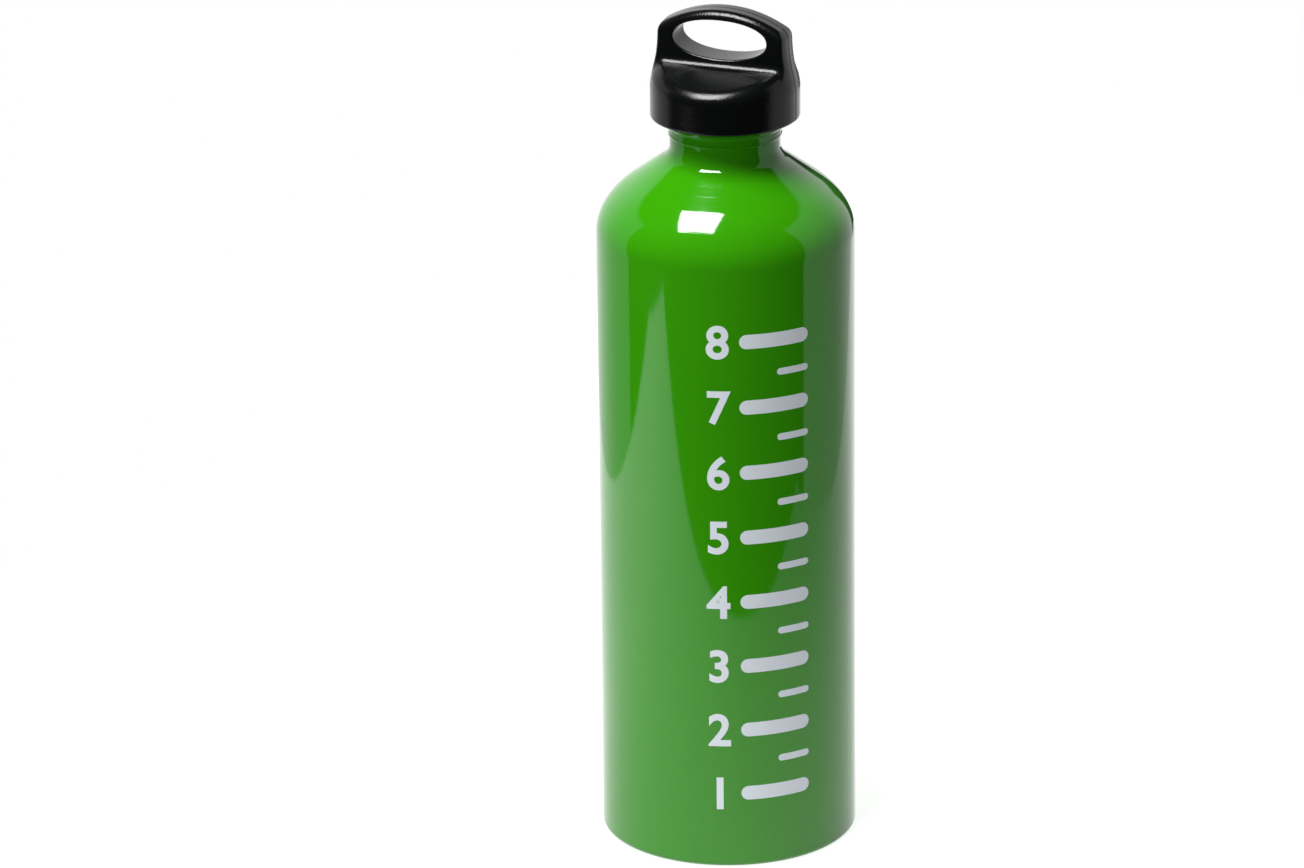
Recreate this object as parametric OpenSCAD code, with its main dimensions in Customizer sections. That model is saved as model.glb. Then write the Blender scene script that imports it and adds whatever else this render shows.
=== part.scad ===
// One litre camping fuel bottle with a push-and-turn cap and a carry handle.
// Millimetres. Z points up, and the origin is the centre of the base.
// The handle runs along X. Threads are plain here: a smooth shank in a smooth bore.

/* [Bottle] */
// Outer diameter of the body
body_d = 80; // [66:0.5:96]
// Height where the straight wall ends and the shoulder starts
wall_h = 196.5; // [120:0.5:260]
// Thickness of the body wall
wall_t = 1.3; // [0.8:0.1:2.4]
// Radius of the rounded bottom edge
base_round = 2; // [1:0.25:4]
// Thickness of the base
base_t = 2.2; // [1.2:0.1:4]
// Rise of the domed-in base at its middle
dome_h = 3.5; // [1:0.25:8]
// Width from the outer wall to the inner edge of the ring that it stands on
foot_w = 4.5; // [4.2:0.1:9]
// Radius inside, where the floor meets the wall
floor_round = 3; // [1:0.25:6]

/* [Shoulder] */
// Height of the shoulder, from the straight wall to the waist of the neck
shoulder_h = 29.1; // [20:0.1:45]
// How long the shoulder keeps on straight up from the wall
shoulder_low = 16.6; // [8:0.1:24]
// How long the shoulder runs straight into the waist
shoulder_high = 9.3; // [4:0.1:14]
// Diameter of the waist under the collar
waist_d = 34.3; // [32:0.1:36]

/* [Neck] */
// Diameter of the bore that the cap screws into
bore_d = 28; // [24:0.1:29.5]
// Height from the waist to the rim of the mouth
neck_h = 10.9; // [9.5:0.1:16]
// Diameter at the crease over the waist
crease_d = 35.2; // [34.6:0.1:36.4]
// Height of the crease over the waist
crease_h = 2.8; // [1.5:0.1:4]
// Depth of the crease, where the collar stands out over the waist
crease_step = 0.4; // [0.1:0.05:0.5]
// Diameter of the collar round the mouth
collar_d = 36.6; // [35.6:0.1:37.6]
// Height of the collar's lower edge over the waist
collar_h = 5.5; // [4.5:0.1:7]
// Depth of the thick neck inside, down from the waist
neck_root = 3.6; // [1:0.1:6]
// Bevel at the two edges of the rim
rim_bevel = 0.6; // [0.2:0.1:1.2]

/* [Seal] */
// Thickness of the rubber seal
seal_t = 1.6; // [1.2:0.1:3]
// Width of the seal, from its inside to its outside
seal_w = 3.4; // [2.6:0.1:3.8]
// Gap between the seal and the shank that it sits round
seal_play = 0.2; // [0.1:0.05:0.4]

/* [Stopper] */
// Length of the shank below the rim
shank_len = 18; // [12:0.5:26]
// Gap between the shank and the bore, on the radius
shank_play = 0.05; // [0.02:0.01:0.1]
// Wall of the hollow shank
shank_wall = 3.1; // [2:0.1:4]
// Thickness of the web that closes the shank
web_t = 3; // [1.5:0.1:4]
// Thickness of the flange that presses on the seal
flange_t = 2.4; // [1.8:0.1:4]
// Gap between the flange and the inside of the skirt
flange_play = 1; // [0.4:0.1:1.6]
// Width of the two slots that let pressure out down the shank
vent_w = 3; // [1.5:0.1:5]
// Depth of those slots
vent_depth = 1.1; // [0.5:0.1:1.6]

/* [Ratchet] */
// Number of teeth on the stopper, and of lugs in the cap
tooth_count = 12; // [8:1:16]
// Part of each pitch that a tooth's foot takes
tooth_share = 0.42; // [0.3:0.01:0.46]
// Length of a tooth along the radius
tooth_len = 4.4; // [3:0.1:5]
// How far the cap is pushed down to turn the stopper
press_travel = 2; // [1.2:0.1:3]
// Gap kept over and under the teeth
tooth_gap = 0.3; // [0.2:0.05:0.6]

/* [Spring] */
// Diameter of the spring's wire
wire_d = 1.1; // [0.8:0.1:1.2]
// Diameter of the coil, middle to middle of the wire
coil_d = 18.8; // [17:0.1:20]
// Number of turns
coil_turns = 3.5; // [2.5:0.5:3.5]
// Gap from the wire to the pocket's wall and to the posts inside it
coil_play = 0.8; // [0.4:0.1:1]

/* [Cap skirt] */
// Outer diameter of the skirt
skirt_d = 46.2; // [45.6:0.1:49]
// Thickness of the skirt
skirt_t = 2.2; // [1.6:0.1:2.6]
// How far the skirt hangs below the rim of the mouth
skirt_drop = 2.5; // [2.4:0.1:6]
// Radius of the skirt's bottom edge
skirt_round = 0.7; // [0.3:0.1:1.8]
// Height of the skirt's straight outside
skirt_straight = 9.3; // [5:0.1:11]
// How far the snap bead reaches under the flange
snap_reach = 0.6; // [0.3:0.05:0.9]
// Gap between the snap bead and the flange
snap_gap = 0.2; // [0.1:0.05:0.3]
// Thickness of the cap's top over its ceiling, out at the skirt
top_t = 1.7; // [1.5:0.1:3.5]
// Rise of the sloping top from the skirt to the foot of the handle
deck_rise = 3.7; // [1:0.1:5]
// Radius of the edge between the sloping top and the skirt
deck_round = 3; // [1:0.25:4]
// How long the skirt keeps on straight up before it draws in
flare_low = 4.4; // [2:0.1:7]
// How long the flare runs straight into the handle's ends
flare_high = 10.3; // [5:0.1:14]
// Height of the flare's end over the foot of the handle
flare_h = 10.5; // [6:0.1:13]

/* [Handle] */
// Height of the handle over the edge of the cap's top
handle_h = 21.5; // [18:0.1:28]
// Thickness of the handle
handle_t = 10.5; // [8:0.1:12]
// Radius of the arch along its top
arch_r = 38; // [30:0.5:60]
// Length of the handle along X near its top
handle_len = 40.8; // [36:0.1:42]
// Length of the handle where its ends stop flaring
handle_root_len = 41.6; // [41:0.1:44]
// Radius of the two upper corners
corner_r = 2; // [1:0.1:4]
// Rounding along the arch's edges
arch_round = 2.8; // [1:0.1:3.5]
// Fillet between the handle and the cap's top
root_fillet = 2; // [0.5:0.1:3]
// Length of the finger hole
eye_len = 30.4; // [24:0.1:32]
// Height of the finger hole
eye_h = 12.3; // [8:0.1:13]
// Thickness of the arch over the finger hole
arch_t = 2.9; // [2.6:0.1:6]
// Bevel round the finger hole
eye_bevel = 0.6; // [0.3:0.1:1.2]

/* [Hidden] */
$fn = 96;

// Heights along the axis, each from the one below it
waist_z = wall_h + shoulder_h;
rim_z = waist_z + neck_h;
flange_z = rim_z + seal_t;
flange_top = flange_z + flange_t;
tooth_top = flange_top + press_travel;
ceiling_z = tooth_top + press_travel + 2 * tooth_gap;
deck_z = ceiling_z + top_t;
foot_z = deck_z + deck_rise;
skirt_z = rim_z - skirt_drop;
handle_top = deck_z + handle_h;
shank_z = rim_z - shank_len;
pocket_z = flange_top - wire_d - web_t;

// Radii
body_r = body_d / 2;
inside_r = body_r - wall_t;
foot_r = body_r - foot_w;
waist_r = waist_d / 2;
bore_r = bore_d / 2;
collar_r = collar_d / 2;
shank_r = bore_r - shank_play;
skirt_r = skirt_d / 2;
skirt_in_r = skirt_r - skirt_t;
flange_r = skirt_in_r - flange_play;
tooth_in_r = flange_r - tooth_len;
coil_r = coil_d / 2;
post_r = coil_r - wire_d / 2 - coil_play;
pocket_r = coil_r + wire_d / 2 + coil_play;

// Fineness of the curves, and the margin by which cuts run past a face
curve_steps = 20;
arc_steps = 6;
dome_steps = 8;
eye_points = 56;
eye_power = 2.15;
cut = 1;

echo(total_height = handle_top, spring_gap = spring_gap());

// Points on a cubic curve from a to d, with handles b and c
function curve(a, b, c, d, steps) = [
    for (i = [0 : steps])
        let (t = i / steps, s = 1 - t)
            s * s * s * a + 3 * s * s * t * b + 3 * s * t * t * c + t * t * t * d
];

// Points on an arc about centre c, from angle a0 to a1
function arc(c, r, a0, a1, steps) = [
    for (i = [0 : steps])
        let (a = a0 + (a1 - a0) * i / steps)
            [c[0] + r * cos(a), c[1] + r * sin(a)]
];

// Height of the base's underside at radius r
function dome(r) = dome_h * max(0, 1 - pow(r / foot_r, 2));

// A right-handed profile turned about the axis
module turned(points) {
    rotate_extrude() polygon(points);
}

// A ring between two radii and two heights
module ring(r_in, r_out, z0, z1) {
    turned([[r_in, z0], [r_out, z0], [r_out, z1], [r_in, z1]]);
}

// Bottle: one aluminium can, thin in the wall and thick in the neck
module bottle_body() {
    underside = [for (i = [0 : dome_steps]) let (r = foot_r * i / dome_steps) [r, dome(r)]];
    bottom_edge = arc([body_r - base_round, base_round], base_round, -90, 0, arc_steps);
    shoulder = curve(
        [body_r, wall_h], [body_r, wall_h + shoulder_low],
        [waist_r, waist_z - shoulder_high], [waist_r, waist_z], curve_steps);
    neck = [
        [crease_d / 2 - crease_step, waist_z + crease_h - crease_step],
        [crease_d / 2, waist_z + crease_h],
        [collar_r, waist_z + collar_h],
        [collar_r, rim_z - rim_bevel],
        [collar_r - rim_bevel, rim_z],
        [bore_r + rim_bevel, rim_z],
        [bore_r, rim_z - rim_bevel]
    ];
    root_z = waist_z - neck_root;
    shoulder_inside = curve(
        [bore_r, root_z], [bore_r, root_z - shoulder_high],
        [inside_r, wall_h + shoulder_low], [inside_r, wall_h], curve_steps);
    floor_r = inside_r - floor_round;
    floor_edge = arc([floor_r, base_t + floor_round], floor_round, 0, -90, arc_steps);
    floor_inside = [
        for (i = [dome_steps : -1 : 0])
            let (r = min(foot_r, floor_r) * i / dome_steps)
                [r, dome(r) + base_t]
    ];
    color([0.25, 0.6, 0.16])
        turned(concat(underside, bottom_edge, shoulder, neck, shoulder_inside, floor_edge, floor_inside));
}

// Seal: a rubber ring held round the shank, pressed between rim and flange
module seal_ring() {
    seal_in = shank_r + seal_play;
    edge = seal_t / 4;
    color([0.12, 0.12, 0.12])
        turned(concat(
            arc([seal_in + edge, rim_z + edge], edge, 180, 270, arc_steps),
            arc([seal_in + seal_w - edge, rim_z + edge], edge, -90, 0, arc_steps),
            arc([seal_in + seal_w - edge, flange_z - edge], edge, 0, 90, arc_steps),
            arc([seal_in + edge, flange_z - edge], edge, 90, 180, arc_steps)));
}

// One ratchet tooth standing on z = 0 at radius r_in to r_out: an upright drive
// flank on one side and a ramp on the other, so that an unpressed cap slips over it
module tooth(r_in, r_out, h) {
    mid_r = (r_in + r_out) / 2;
    foot = 2 * PI * mid_r / tooth_count * tooth_share;
    ramp = min(h, foot / 2);
    rotate([90, 0, 90])
        linear_extrude(height = r_out + cut)
            polygon([[-foot / 2, -cut], [foot / 2, -cut], [foot / 2, 0], [foot / 2 - ramp, h], [-foot / 2, h]]);
}

// The ring of teeth, cut to the ring between two radii
module teeth(r_in, r_out, h) {
    intersection() {
        ring(r_in, r_out, 0, h);
        for (i = [0 : tooth_count - 1])
            rotate([0, 0, 360 / tooth_count * i]) tooth(r_in, r_out, h);
    }
}

// Stopper: the threaded plug inside the cap, hollow from below
module stopper() {
    web_z = pocket_z;
    shank_bevel = 1;
    post_h = pocket_z + (flange_top - pocket_z) / 2;
    color([0.16, 0.16, 0.17]) {
        difference() {
            turned([
                [0, web_z - web_t],
                [shank_r - shank_wall, web_z - web_t],
                [shank_r - shank_wall, shank_z],
                [shank_r - shank_bevel, shank_z],
                [shank_r, shank_z + shank_bevel],
                [shank_r, flange_z],
                [flange_r, flange_z],
                [flange_r, flange_top],
                [pocket_r, flange_top],
                [pocket_r, pocket_z],
                [post_r, pocket_z],
                [post_r, post_h],
                [0, post_h]
            ]);
            for (side = [0, 180])
                rotate([0, 0, side])
                    translate([shank_r - vent_depth, -vent_w / 2, shank_z - cut])
                        cube([vent_depth + cut, vent_w, rim_z - shank_z - rim_bevel + cut]);
        }
        translate([0, 0, flange_top]) teeth(tooth_in_r, flange_r, press_travel);
    }
}

// Return spring: one steel wire wound between the stopper's pocket and the cap's top.
// Six sides round the wire and eight rings a turn.
wire_sides = 6;
rings_per_turn = 8;
coil_seat = 0.02;
coil_z = pocket_z + wire_d / 2 + coil_seat;
coil_rise = ceiling_z - pocket_z - wire_d - 2 * coil_seat;
coil_rings = coil_turns * rings_per_turn;

// Middle of the wire at ring i, and the least gap between one turn and the next
function coil_point(i) = let (a = 360 * i / rings_per_turn)
    [coil_r * cos(a), coil_r * sin(a), coil_z + coil_rise * i / coil_rings];
function spring_gap() = min([
    for (i = [0 : coil_rings - rings_per_turn])
        norm(coil_point(i + rings_per_turn) - coil_point(i)) - wire_d
]);

module return_spring() {
    wire_points = [
        for (i = [0 : coil_rings], j = [0 : wire_sides - 1])
            let (a = 360 * i / rings_per_turn, b = 360 * (j + 0.5) / wire_sides, r = coil_r + wire_d / 2 * cos(b))
                [r * cos(a), r * sin(a), coil_point(i)[2] + wire_d / 2 * sin(b)]
    ];
    skin = [
        for (i = [0 : coil_rings - 1], j = [0 : wire_sides - 1])
            let (a = i * wire_sides + j, b = i * wire_sides + (j + 1) % wire_sides)
                each [[a, b, a + wire_sides], [b, b + wire_sides, a + wire_sides]]
    ];
    start_face = [[for (j = [0 : wire_sides - 1]) wire_sides - 1 - j]];
    end_face = [[for (j = [0 : wire_sides - 1]) coil_rings * wire_sides + j]];
    color([0.72, 0.73, 0.75])
        polyhedron(points = wire_points, faces = concat(start_face, skin, end_face), convexity = 4);
}

// Outline of the cap as it would be turned, from the skirt up to where the flare ends
function cap_outline() =
    let (straight_top = skirt_z + skirt_straight, end_z = foot_z + flare_h, end_r = handle_root_len / 2)
        curve(
            [skirt_r, straight_top], [skirt_r, straight_top + flare_low],
            [end_r, end_z - flare_high], [end_r, end_z], curve_steps);

// The handle's block as it would be turned, with ends that flare out into the skirt
module handle_outside() {
    turned(concat(
        [[0, skirt_z + skirt_straight]],
        cap_outline(),
        [[handle_len / 2, handle_top - corner_r], [handle_len / 2, handle_top + cut], [0, handle_top + cut]]));
}

// Section across the handle, along Y: the upright plate and the fillets at its foot
module handle_section() {
    half = handle_t / 2;
    side = concat(
        [[half + root_fillet, ceiling_z], [half + root_fillet, foot_z]],
        arc([half + root_fillet, foot_z + root_fillet], root_fillet, 270, 180, arc_steps),
        [[half, handle_top + cut]]);
    polygon(concat(side, [for (i = [len(side) - 1 : -1 : 0]) [-side[i][0], side[i][1]]]));
}

// The skirt under a top that slopes away on both sides of the handle like a roof,
// with the turned wall set in and the roof let down by two margins
module cap_layer(inset, drop) {
    foot_y = handle_t / 2 + root_fillet;
    slope = deck_rise / (skirt_r - foot_y);
    roof = [[skirt_r + cut, deck_z - slope * cut - drop], [foot_y, foot_z - drop]];
    intersection() {
        turned(concat(
            [[0, skirt_z]],
            arc([skirt_r - skirt_round - inset, skirt_z + skirt_round], skirt_round, -90, 0, arc_steps),
            [for (p = cap_outline()) if (p[1] < foot_z + cut) [p[0] - inset, p[1]]],
            [[0, foot_z + cut]]));
        rotate([90, 0, 90])
            translate([0, 0, -skirt_r - cut])
                linear_extrude(height = 2 * (skirt_r + cut))
                    polygon([
                        [-skirt_r - cut, skirt_z - cut],
                        [skirt_r + cut, skirt_z - cut],
                        roof[0],
                        roof[1],
                        [-roof[1][0], roof[1][1]],
                        [-roof[0][0], roof[0][1]]
                    ]);
    }
}

// Skirt and sloping top, with a rounded edge between them
module cap_base() {
    turn = 60;
    steps = 3;
    hull()
        for (i = [0 : steps])
            let (a = turn * i / steps)
                cap_layer(deck_round * (1 - cos(a)), deck_round * (1 - cos(turn - a)));
}

// Arch of the handle seen from the front, with its two round corners
module arch_outline() {
    corner_x = handle_len / 2 - corner_r;
    centre_z = handle_top - arch_r;
    corner_z = centre_z + sqrt(pow(arch_r - corner_r, 2) - pow(corner_x, 2));
    touch_x = corner_x * arch_r / (arch_r - corner_r);
    intersection() {
        translate([0, centre_z]) circle(r = arch_r, $fn = 180);
        translate([-touch_x, corner_z]) square([2 * touch_x, arch_r]);
    }
    for (side = [-1, 1])
        translate([side * corner_x, corner_z]) circle(r = corner_r, $fn = 48);
    translate([-skirt_r - cut, skirt_z - cut]) square([2 * (skirt_r + cut), corner_z - skirt_z + cut]);
}

// A disc about the Y axis whose rim is the arch's rounded edge
module arch_rounding() {
    half = handle_t / 2;
    round_r = min(arch_round, half - 0.5);
    translate([0, 0, handle_top - arch_r])
        rotate([90, 0, 0])
            turned(concat(
                [[0, -half]],
                arc([arch_r - round_r, -half + round_r], round_r, -90, 0, arc_steps),
                arc([arch_r - round_r, half - round_r], round_r, 0, 90, arc_steps),
                [[0, half]]));
}

// Outline of the finger hole, a full oval, grown by a margin
module eye_outline(margin) {
    a = eye_len / 2 + margin;
    b = eye_h / 2 + margin;
    polygon([
        for (i = [0 : eye_points - 1])
            let (t = 360 * i / eye_points, c = cos(t), s = sin(t))
                [a * sign(c) * pow(abs(c), 2 / eye_power), b * sign(s) * pow(abs(s), 2 / eye_power)]
    ]);
}

// The finger hole, cut through the plate, with a bevel at each mouth
module eye_cut() {
    half = handle_t / 2;
    translate([0, 0, handle_top - arch_t - eye_h / 2])
        rotate([90, 0, 0]) {
            translate([0, 0, -half - cut]) linear_extrude(height = handle_t + 2 * cut) eye_outline(0);
            for (side = [-1, 1])
                hull() {
                    translate([0, 0, side * (half - eye_bevel) - 0.01]) linear_extrude(height = 0.02) eye_outline(0);
                    translate([0, 0, side * (half + cut) - 0.01])
                        linear_extrude(height = 0.02) eye_outline(eye_bevel + cut);
                }
        }
}

// Inside of the cap: a plain cup with a snap bead near its mouth
module cap_inside() {
    bead_r = flange_r - snap_reach;
    bead_top = flange_z - snap_gap;
    bead_slope = skirt_in_r - bead_r;
    ceiling_round = 0.8;
    turned([
        [0, skirt_z - cut],
        [skirt_in_r, skirt_z - cut],
        [skirt_in_r, bead_top - 1.6 * bead_slope],
        [bead_r, bead_top - 0.6 * bead_slope],
        [bead_r, bead_top],
        [skirt_in_r, bead_top],
        [skirt_in_r, ceiling_z - ceiling_round],
        [skirt_in_r - ceiling_round, ceiling_z],
        [0, ceiling_z]
    ]);
}

// Cap: skirt, top and carry handle in one moulding, with drive lugs under the top
module cap_shell() {
    lug_h = ceiling_z - flange_top - press_travel - tooth_gap;
    post_h = (ceiling_z - pocket_z - 2 * press_travel) / 4;
    color([0.06, 0.065, 0.065]) {
        difference() {
            union() {
                cap_base();
                intersection() {
                    handle_outside();
                    rotate([90, 0, 90])
                        translate([0, 0, -skirt_r - cut])
                            linear_extrude(height = 2 * (skirt_r + cut)) handle_section();
                    rotate([90, 0, 0])
                        translate([0, 0, -skirt_r - cut])
                            linear_extrude(height = 2 * (skirt_r + cut)) arch_outline();
                    union() {
                        arch_rounding();
                        ring(0, skirt_r + cut, ceiling_z - cut, foot_z + root_fillet);
                    }
                }
            }
            cap_inside();
            eye_cut();
        }
        translate([0, 0, ceiling_z])
            rotate([0, 0, 180 / tooth_count]) mirror([0, 0, 1]) teeth(tooth_in_r, flange_r, lug_h);
        ring(0, post_r, ceiling_z - post_h, ceiling_z);
    }
}

bottle_body();
seal_ring();
stopper();
return_spring();
cap_shell();
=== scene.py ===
"""Looks of a camping fuel bottle: enamelled can, fill scale, push-and-turn cap, and a plain studio."""

from itertools import product
from math import atan2, cos, degrees, hypot, pi, radians, sin, sqrt

import bmesh
import bpy
import numpy as np
from bpy.props import FloatProperty, FloatVectorProperty, IntProperty, PointerProperty
from mathutils import Matrix, Vector


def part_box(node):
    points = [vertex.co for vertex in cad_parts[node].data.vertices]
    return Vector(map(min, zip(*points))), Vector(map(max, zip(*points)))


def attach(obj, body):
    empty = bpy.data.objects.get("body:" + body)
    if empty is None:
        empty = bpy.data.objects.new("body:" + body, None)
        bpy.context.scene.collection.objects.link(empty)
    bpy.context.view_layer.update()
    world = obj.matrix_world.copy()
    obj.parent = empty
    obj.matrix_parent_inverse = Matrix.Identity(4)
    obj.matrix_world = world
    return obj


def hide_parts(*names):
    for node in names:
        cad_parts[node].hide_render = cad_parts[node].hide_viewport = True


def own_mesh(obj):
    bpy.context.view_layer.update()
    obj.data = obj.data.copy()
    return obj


bl_info = {
    "name": "Camping fuel bottle",
    "version": (1, 0, 0),
    "blender": (4, 5, 0),
    "location": "3D View > Sidebar > Fuel bottle",
    "description": "Builds an enamelled fuel bottle with a push-and-turn cap around its packed model",
    "category": "Add Mesh",
}

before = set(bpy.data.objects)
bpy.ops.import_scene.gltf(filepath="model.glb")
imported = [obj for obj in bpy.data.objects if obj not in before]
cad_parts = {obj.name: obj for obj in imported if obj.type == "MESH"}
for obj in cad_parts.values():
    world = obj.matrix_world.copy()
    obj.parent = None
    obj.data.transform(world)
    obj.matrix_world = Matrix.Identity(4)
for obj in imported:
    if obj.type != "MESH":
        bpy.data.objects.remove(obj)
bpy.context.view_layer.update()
can_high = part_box("bottle_body")[1]
cap_low, cap_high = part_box("cap_shell")
plug_low, plug_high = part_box("stopper")
seal_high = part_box("seal_ring")[1]
spring_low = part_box("return_spring")[0]

MM = 0.001
FLANGE = 2.4 * MM


# Sizes and colours

def length(name, description, default, low=0.0001, high=1.0):
    """A length property in metres."""
    return FloatProperty(name=name, description=description, default=default, min=low, max=high,
                         precision=4, subtype="DISTANCE", unit="LENGTH")


def rotation(name, description, default):
    """An angle property, in radians."""
    return FloatProperty(name=name, description=description, default=default, min=-pi, max=pi,
                         subtype="ANGLE", unit="ROTATION")


def colour(name, description, default):
    """A colour property, in linear light."""
    return FloatVectorProperty(name=name, description=description, default=default, min=0.0, max=1.0,
                               size=3, subtype="COLOR")


class CanSizes(bpy.types.PropertyGroup):
    """Sizes of the aluminium can."""

    radius: length("Body radius", "Outer radius of the body", can_high.x)
    rim_z: length("Rim height", "Height of the rim of the mouth", can_high.z)
    wall: length("Wall", "Thickness of the body wall", 1.3 * MM)
    wall_top: length("Straight wall", "Height where the shoulder starts", 196.5 * MM)
    waist_radius: length("Waist radius", "Radius of the neck's waist", 17.15 * MM)
    waist_z: length("Waist height", "Height where the neck's waist starts", 224.8 * MM)
    shoulder_pull: length("Shoulder start", "How long the shoulder keeps on straight up", 7.1 * MM)
    cone_radius: length("Cone radius", "Radius where the shoulder's rounding ends in a cone", 30.0 * MM)
    cone_pull: length("Cone pull", "How long the shoulder's rounding runs straight into the cone", 6.7 * MM)
    cone_tilt: rotation("Cone tilt", "How far the cone of the shoulder leans inward", radians(54.1))
    neck_fillet: length("Neck fillet", "Radius between the cone and the neck's waist", 5.1 * MM)
    belly_low: length("Belly start", "How long the inside keeps on straight up", 16.6 * MM)
    belly_high: length("Belly end", "How long the inside runs straight into the bore", 11.3 * MM)
    bead_z: length("Bead height", "Height of the bead over the waist", 228.3 * MM)
    bead_step: length("Bead step", "How far the bead stands out", 0.4 * MM)
    collar_radius: length("Collar radius", "Radius of the collar round the mouth", 18.3 * MM)
    collar_z: length("Collar height", "Height of the collar's lower edge", 231.1 * MM)
    bore_radius: length("Bore radius", "Radius of the mouth at the root of its thread", 14.0 * MM)
    bore_root_z: length("Bore root", "Height where the thick neck ends inside", 222.0 * MM)
    rim_bevel: length("Rim bevel", "Bevel at the edges of the rim", 0.6 * MM)
    base_round: length("Base radius", "Radius of the rounded bottom edge", 2.0 * MM)
    base: length("Base", "Thickness of the base", 2.2 * MM)
    dome: length("Dome", "Rise of the domed-in base", 3.5 * MM)
    foot_width: length("Foot width", "From the outer wall to the inner edge of the foot ring", 4.5 * MM)
    floor_round: length("Floor radius", "Radius inside, where floor and wall meet", 3.0 * MM)


class ThreadSizes(bpy.types.PropertyGroup):
    """Sizes of the screw thread between mouth and stopper."""

    pitch: length("Pitch", "Rise in one turn", 4.0 * MM)
    depth: length("Depth", "Height of a ridge over its root", 1.15 * MM)
    foot: length("Foot", "Width of a ridge at its root", 2.1 * MM)
    crest: length("Crest", "Width of a ridge at its crest", 1.0 * MM)
    play: length("Play", "Gap between crest and root", 0.12 * MM)


class CapSizes(bpy.types.PropertyGroup):
    """Sizes of the outer cap."""

    skirt_radius: length("Skirt radius", "Outer radius of the skirt", cap_high.x)
    skirt_z: length("Skirt bottom", "Height of the skirt's lower edge", cap_low.z)
    top_z: length("Handle top", "Height of the top of the handle", cap_high.z)
    skirt_round: length("Skirt edge", "Radius of the skirt's bottom edge", 0.7 * MM)
    skirt_straight: length("Skirt straight", "Height of the skirt's straight outside", 9.3 * MM)
    wall: length("Skirt wall", "Thickness of the skirt", 2.2 * MM)
    deck_z: length("Top edge", "Height of the cap's sloping top out at the skirt", 246.8 * MM)
    deck_rise: length("Top rise", "Rise of the sloping top from the skirt to the handle's foot", 3.7 * MM)
    deck_round: length("Top edge radius", "Radius of the edge between the top and the skirt", 3.0 * MM)
    flare_low: length("Flare start", "How long the skirt keeps on straight up", 4.4 * MM)
    flare_high: length("Flare end", "How long the flare runs straight into the handle's ends", 10.3 * MM)
    flare: length("Flare height", "Height of the flare's end over the handle's foot", 10.5 * MM)
    ceiling_z: length("Ceiling", "Height of the inside of the cap's top", 245.1 * MM)
    handle_thick: length("Handle thickness", "Thickness of the handle", 10.5 * MM)
    handle_length: length("Handle length", "Length of the handle near its top", 40.8 * MM)
    handle_root: length("Handle root", "Length of the handle where its ends stop flaring", 41.6 * MM)
    arch_radius: length("Arch radius", "Radius of the arch along its top", 38.0 * MM)
    arch_round: length("Arch rounding", "Rounding along the arch's edges", 2.8 * MM)
    corner: length("Corner radius", "Radius of the handle's upper corners", 2.0 * MM)
    root_fillet: length("Root fillet", "Fillet between the handle and the top", 2.7 * MM)
    edge: length("Edge radius", "Small radius down the handle's ends", 0.8 * MM)
    eye_length: length("Eye length", "Length of the finger hole", 30.4 * MM)
    eye_height: length("Eye height", "Height of the finger hole", 12.3 * MM)
    eye_round: length("Eye rim", "Radius round the finger hole's rims", 0.6 * MM)
    arch_thick: length("Arch thickness", "Thickness of the arch over the finger hole", 2.9 * MM)
    seam: length("Mould seam", "Step between the two halves of the mould", 0.09 * MM)
    grid: length("Mesh step", "Step of the grid that the moulding is meshed on", 0.36 * MM)


class PlugSizes(bpy.types.PropertyGroup):
    """Sizes of the stopper, its teeth and the return spring."""

    flange_radius: length("Flange radius", "Radius of the flange", plug_high.x)
    flange_z: length("Flange height", "Height of the flange's underside", seal_high.z)
    flange: length("Flange", "Thickness of the flange", FLANGE)
    shank_z: length("Shank end", "Height of the shank's lower end", plug_low.z)
    hollow_radius: length("Hollow radius", "Radius of the shank's hollow", 10.85 * MM)
    web: length("Web", "Thickness of the web over the hollow", 3.0 * MM)
    pocket_z: length("Pocket floor", "Height of the spring pocket's floor", spring_low.z)
    pocket_radius: length("Pocket radius", "Radius of the spring pocket", 10.75 * MM)
    post_radius: length("Post radius", "Radius of the post inside the spring", 8.05 * MM)
    tooth: length("Tooth height", "Height of a ratchet tooth", plug_high.z - seal_high.z - FLANGE)
    tooth_length: length("Tooth length", "Length of a tooth along the radius", 4.4 * MM)
    teeth: IntProperty(name="Teeth", description="Number of ratchet teeth", default=12, min=3, max=36)
    tooth_share: FloatProperty(name="Tooth share", description="Part of the pitch that a tooth's foot takes",
                               default=0.42, min=0.2, max=0.46, subtype="FACTOR")
    wire: length("Wire", "Diameter of the spring's wire", 1.1 * MM)
    coil_radius: length("Coil radius", "Radius of the spring at the middle of its wire", 9.4 * MM)


class PrintSizes(bpy.types.PropertyGroup):
    """Sizes of the printed fill scale."""

    azimuth: rotation("Azimuth", "Direction that the scale's bars face", radians(-48.0))
    step: length("Step", "Height of one deciliter", 21.25 * MM)
    zero: length("Zero", "Height of the empty mark", 3.77 * MM)
    bar: length("Bar", "Length of a deciliter bar", 23.0 * MM)
    bar_height: length("Bar height", "Height of a deciliter bar", 4.6 * MM)
    tick: length("Tick", "Length of a half-deciliter tick", 11.0 * MM)
    tick_height: length("Tick height", "Height of a half-deciliter tick", 2.2 * MM)
    digit: length("Digit", "Height of the numbers", 10.5 * MM)
    ink: length("Ink", "Thickness of the ink", 0.04 * MM, 0.00001)
    marks: IntProperty(name="Marks", description="Number of deciliter marks", default=8, min=1, max=9)


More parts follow.
